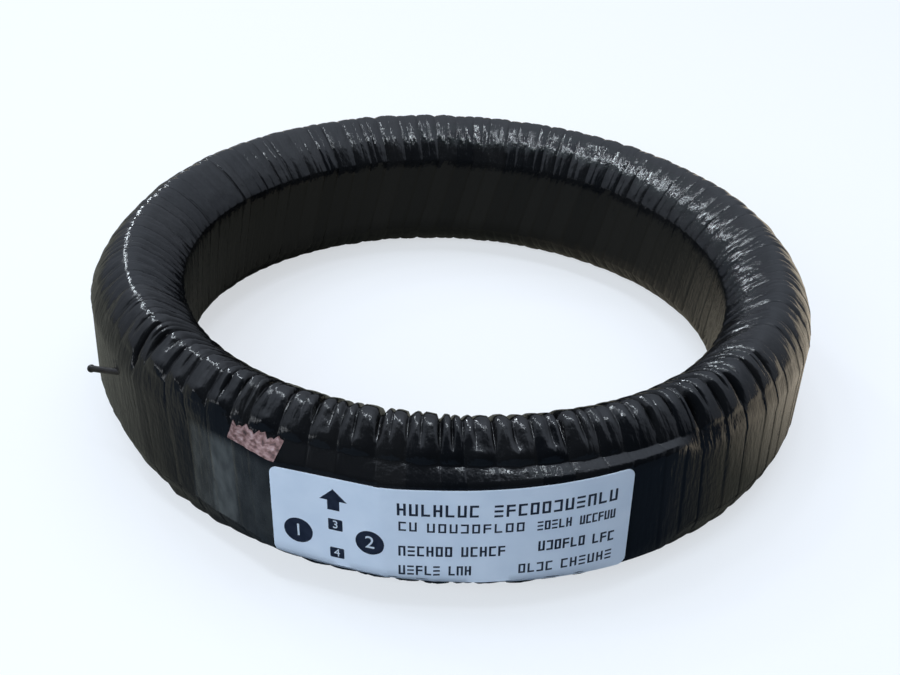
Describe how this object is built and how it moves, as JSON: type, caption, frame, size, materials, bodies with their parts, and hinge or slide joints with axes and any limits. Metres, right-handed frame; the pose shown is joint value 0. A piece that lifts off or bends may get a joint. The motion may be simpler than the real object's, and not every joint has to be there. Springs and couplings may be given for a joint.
{
  "type": "current transformer",
  "caption": "ring-type current transformer: a wound toroidal core lapped in glossy black tape, with a white label on its outer wall and a round window for the primary conductor",
  "frame": {"origin": "the middle of the window, halfway along the window's wall", "axes": "+Z along the window's axis, out of the face that looks up at rest; the label faces -Y; +X to the right of the label"},
  "size_m": [0.1317, 0.1308, 0.0305],
  "materials": {
    "core_steel": "bare strip edges",
    "pressboard": "smooth pressboard",
    "cotton_tape": "woven cotton tape",
    "winding_copper": "enamelled copper wire",
    "film": "polyester film",
    "crepe_paper": "crepe paper",
    "joint_paper": "fibrous red-brown insulation paper",
    "tail_varnish": "black varnish",
    "black_tape": "glossy lapped vinyl tape",
    "label_film": "semi-gloss printed film"
  },
  "bodies": {
    "root": {"core": "core_steel", "inner_core_liner": "pressboard", "outer_core_liner": "pressboard", "top_core_collar": "pressboard", "bottom_core_collar": "pressboard", "core_tape": "cotton_tape", "winding_layer_1": "winding_copper", "interlayer_film": "film", "winding_layer_2": "winding_copper", "winding_film": "film", "top_end_ring": "pressboard", "bottom_end_ring": "pressboard", "wrap_tape": "crepe_paper", "joint_cover_strip": "pressboard", "start_tail": "tail_varnish", "finish_tail": "tail_varnish", "outer_tape": "black_tape", "joint_paper": "joint_paper", "label": "label_film"}
  },
  "joints": []
}
